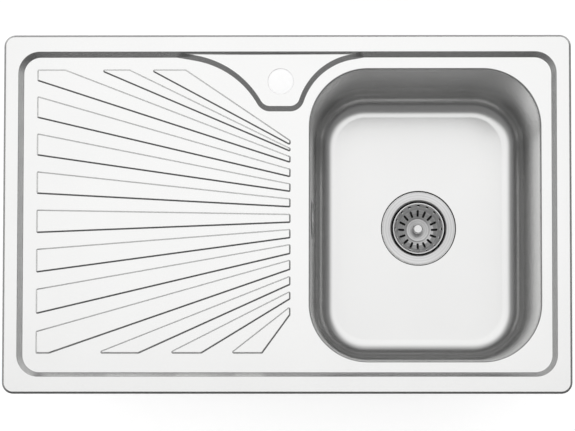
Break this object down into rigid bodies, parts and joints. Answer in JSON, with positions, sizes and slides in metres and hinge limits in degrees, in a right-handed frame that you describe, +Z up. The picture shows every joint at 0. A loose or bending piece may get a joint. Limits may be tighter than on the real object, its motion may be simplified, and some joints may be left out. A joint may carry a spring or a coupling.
{
  "type": "kitchen sink with drainboard",
  "caption": "Inset stainless steel kitchen sink with a ribbed drainboard, tap ledge, deep bowl, basket-strainer waste, overflow and worktop clips.",
  "frame": {"origin": "centre of the plane in which the rim seal lies on the worktop", "axes": "+X along the sink to the bowl's end, +Y to the back edge with the tap ledge, +Z up"},
  "size_m": [0.79, 0.5, 0.2523],
  "materials": {
    "satin_steel": "satin brushed stainless steel",
    "polished_steel": "polished stainless steel",
    "plated_steel": "bright zinc plate",
    "foam": "closed-cell foam",
    "bitumen": "matt bitumen mat",
    "rubber": "soft black rubber",
    "moulded_plastic": "moulded polypropylene",
    "hose_plastic": "flexible polyethylene"
  },
  "bodies": {
    "sink": {"deck_panel": "satin_steel", "bowl": "satin_steel", "rim_seal": "foam", "sound_pad": "bitumen", "clip_brackets": "plated_steel", "clip_nuts": "plated_steel", "waste_flange": "polished_steel", "flange_seal": "rubber", "body_seal": "rubber", "waste_screw": "polished_steel", "waste_body": "moulded_plastic", "overflow_rosette": "polished_steel", "overflow_screw": "polished_steel", "overflow_gasket": "rubber", "overflow_body": "moulded_plastic", "overflow_hose": "hose_plastic", "hose_nut_upper": "moulded_plastic", "hose_nut_lower": "moulded_plastic"},
    "basket": {"strainer_basket": "polished_steel"},
    "plug": {"pull_knob": "polished_steel", "basket_stopper": "rubber", "stem_nut": "polished_steel"},
    "clip_1_screw": {"clip_screw_1": "plated_steel"},
    "clip_1_claw": {"clip_claw_1": "plated_steel"},
    "clip_2_screw": {"clip_screw_2": "plated_steel"},
    "clip_2_claw": {"clip_claw_2": "plated_steel"},
    "clip_3_screw": {"clip_screw_3": "plated_steel"},
    "clip_3_claw": {"clip_claw_3": "plated_steel"},
    "clip_4_screw": {"clip_screw_4": "plated_steel"},
    "clip_4_claw": {"clip_claw_4": "plated_steel"},
    "clip_5_screw": {"clip_screw_5": "plated_steel"},
    "clip_5_claw": {"clip_claw_5": "plated_steel"},
    "clip_6_screw": {"clip_screw_6": "plated_steel"},
    "clip_6_claw": {"clip_claw_6": "plated_steel"},
    "clip_7_screw": {"clip_screw_7": "plated_steel"},
    "clip_7_claw": {"clip_claw_7": "plated_steel"},
    "clip_8_screw": {"clip_screw_8": "plated_steel"},
    "clip_8_claw": {"clip_claw_8": "plated_steel"}
  },
  "joints": [
    {"name": "basket_lift", "type": "slide", "parent": "sink", "child": "basket", "axis": [0, 0, 1], "range_m": [0, 0.225]},
    {"name": "knob_turn", "type": "hinge", "parent": "basket", "child": "plug", "pos_m": [0.19225, -0.001, -0.16], "axis": [0, 0, 1], "continuous": true},
    {"name": "clip_1_tighten", "type": "slide", "parent": "sink", "child": "clip_1_screw", "axis": [0, 0, 1], "range_m": [0, 0.014]},
    {"name": "clip_1_swing", "type": "hinge", "parent": "clip_1_screw", "child": "clip_1_claw", "pos_m": [-0.25, -0.227, -0.045], "axis": [0, 0, 1], "range_deg": [0, 90]},
    {"name": "clip_2_tighten", "type": "slide", "parent": "sink", "child": "clip_2_screw", "axis": [0, 0, 1], "range_m": [0, 0.014]},
    {"name": "clip_2_swing", "type": "hinge", "parent": "clip_2_screw", "child": "clip_2_claw", "pos_m": [0, -0.227, -0.045], "axis": [0, 0, 1], "range_deg": [0, 90]},
    {"name": "clip_3_tighten", "type": "slide", "parent": "sink", "child": "clip_3_screw", "axis": [0, 0, 1], "range_m": [0, 0.014]},
    {"name": "clip_3_swing", "type": "hinge", "parent": "clip_3_screw", "child": "clip_3_claw", "pos_m": [0.25, -0.227, -0.045], "axis": [0, 0, 1], "range_deg": [0, 90]},
    {"name": "clip_4_tighten", "type": "slide", "parent": "sink", "child": "clip_4_screw", "axis": [0, 0, 1], "range_m": [0, 0.014]},
    {"name": "clip_4_swing", "type": "hinge", "parent": "clip_4_screw", "child": "clip_4_claw", "pos_m": [-0.28, 0.227, -0.045], "axis": [0, 0, 1], "range_deg": [0, 90]},
    {"name": "clip_5_tighten", "type": "slide", "parent": "sink", "child": "clip_5_screw", "axis": [0, 0, 1], "range_m": [0, 0.014]},
    {"name": "clip_5_swing", "type": "hinge", "parent": "clip_5_screw", "child": "clip_5_claw", "pos_m": [0.14, 0.227, -0.045], "axis": [0, 0, 1], "range_deg": [0, 90]},
    {"name": "clip_6_tighten", "type": "slide", "parent": "sink", "child": "clip_6_screw", "axis": [0, 0, 1], "range_m": [0, 0.014]},
    {"name": "clip_6_swing", "type": "hinge", "parent": "clip_6_screw", "child": "clip_6_claw", "pos_m": [0.29, 0.227, -0.045], "axis": [0, 0, 1], "range_deg": [0, 90]},
    {"name": "clip_7_tighten", "type": "slide", "parent": "sink", "child": "clip_7_screw", "axis": [0, 0, 1], "range_m": [0, 0.014]},
    {"name": "clip_7_swing", "type": "hinge", "parent": "clip_7_screw", "child": "clip_7_claw", "pos_m": [-0.372, 0, -0.045], "axis": [0, 0, 1], "range_deg": [0, 90]},
    {"name": "clip_8_tighten", "type": "slide", "parent": "sink", "child": "clip_8_screw", "axis": [0, 0, 1], "range_m": [0, 0.014]},
    {"name": "clip_8_swing", "type": "hinge", "parent": "clip_8_screw", "child": "clip_8_claw", "pos_m": [0.372, 0, -0.045], "axis": [0, 0, 1], "range_deg": [0, 90]}
  ]
}
